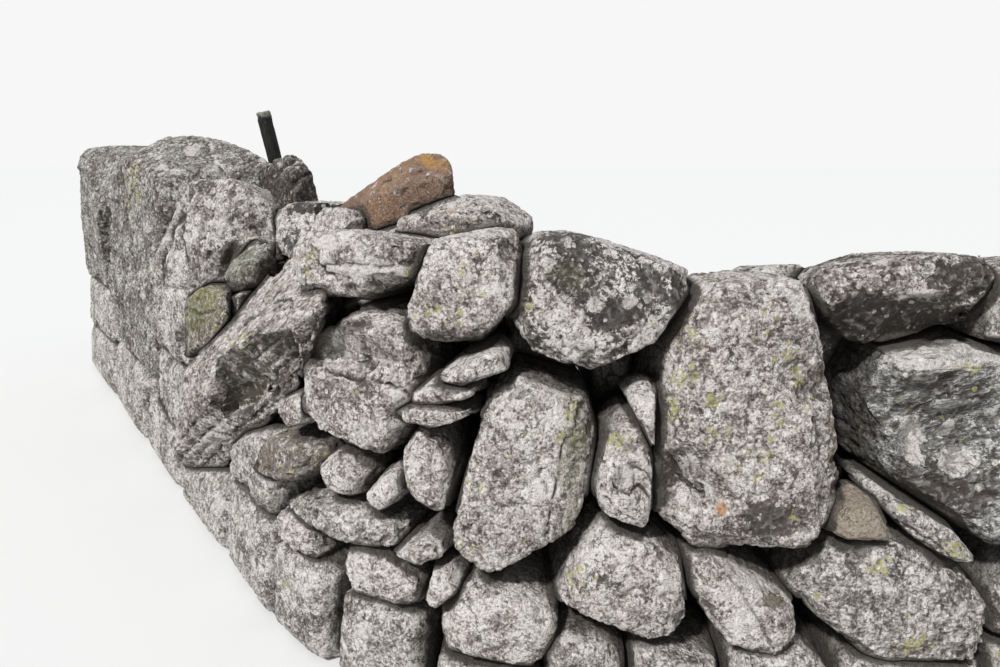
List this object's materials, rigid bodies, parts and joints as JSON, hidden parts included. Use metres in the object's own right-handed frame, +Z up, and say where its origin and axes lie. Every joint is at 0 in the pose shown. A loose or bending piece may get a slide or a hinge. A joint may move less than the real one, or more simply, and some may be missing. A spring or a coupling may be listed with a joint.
{
  "type": "dry stone wall",
  "caption": "A bent length of boulder field wall laid without mortar, with a near stretch, a rounded bend, a far stretch and a leaning stake",
  "frame": {"origin": "on the ground, at the middle of the wall's thickness, where the near stretch meets the bend", "axes": "+X runs along the near stretch towards its free end, -Y is the way out of the seen face, +Z up"},
  "size_m": [4.5751, 3.6388, 1.636],
  "materials": {
    "pink_grey_stone": "rough, mottled with pale and yellow-green lichen",
    "grey_stone": "rough, mottled with pale lichen",
    "dark_stone": "rough, dark crust with white rosettes",
    "brown_stone": "rough, brownish",
    "red_brown_stone": "fairly smooth, reddish brown with orange lichen",
    "tan_stone": "bare, tan",
    "weathered_wood": "weathered grey-black wood with pale lichen at its top"
  },
  "bodies": {
    "root": {"stake": "weathered_wood", "footing_odd": "grey_stone", "footing_even": "grey_stone", "bed_stones": "grey_stone", "bottom_left_boulder": "pink_grey_stone", "foundation_boulder": "pink_grey_stone", "round_foundation_boulder": "grey_stone", "diagonal_stone": "pink_grey_stone", "tall_stone": "pink_grey_stone", "great_boulder": "pink_grey_stone", "triangular_stone": "pink_grey_stone", "right_block": "dark_stone", "bend_boulder": "pink_grey_stone", "light_grey_stone": "grey_stone", "brownish_stone": "brown_stone", "leaning_slab": "grey_stone", "pinning_wedge": "pink_grey_stone", "pinning_stones": "pink_grey_stone", "wedged_slabs": "pink_grey_stone", "down_pointing_stone": "pink_grey_stone", "tucked_stones": "pink_grey_stone", "tan_wedge": "tan_stone", "thin_diagonal_stone": "grey_stone", "end_middle": "pink_grey_stone", "end_stones": "grey_stone", "bend_low_stones": "grey_stone", "back_low_stones": "grey_stone", "back_middle_stones": "grey_stone", "back_top_stones": "grey_stone", "sag_stones": "grey_stone", "sag_back_stone": "grey_stone", "crest_capstone": "grey_stone", "dark_crest_boulder": "dark_stone", "right_capstone": "dark_stone", "small_crest_stone": "grey_stone", "cap_slab": "grey_stone", "dark_back_stone": "dark_stone", "back_shelf": "grey_stone", "grey_back_stone": "grey_stone", "reddish_stone": "red_brown_stone", "shoulder_far": "dark_stone", "shoulder_near": "pink_grey_stone", "mossy_stone": "grey_stone", "hollow_stone": "grey_stone", "far_near_boulder": "grey_stone", "far_middle_boulder": "grey_stone", "far_end_boulder": "grey_stone", "dark_cluster": "dark_stone"}
  },
  "joints": []
}
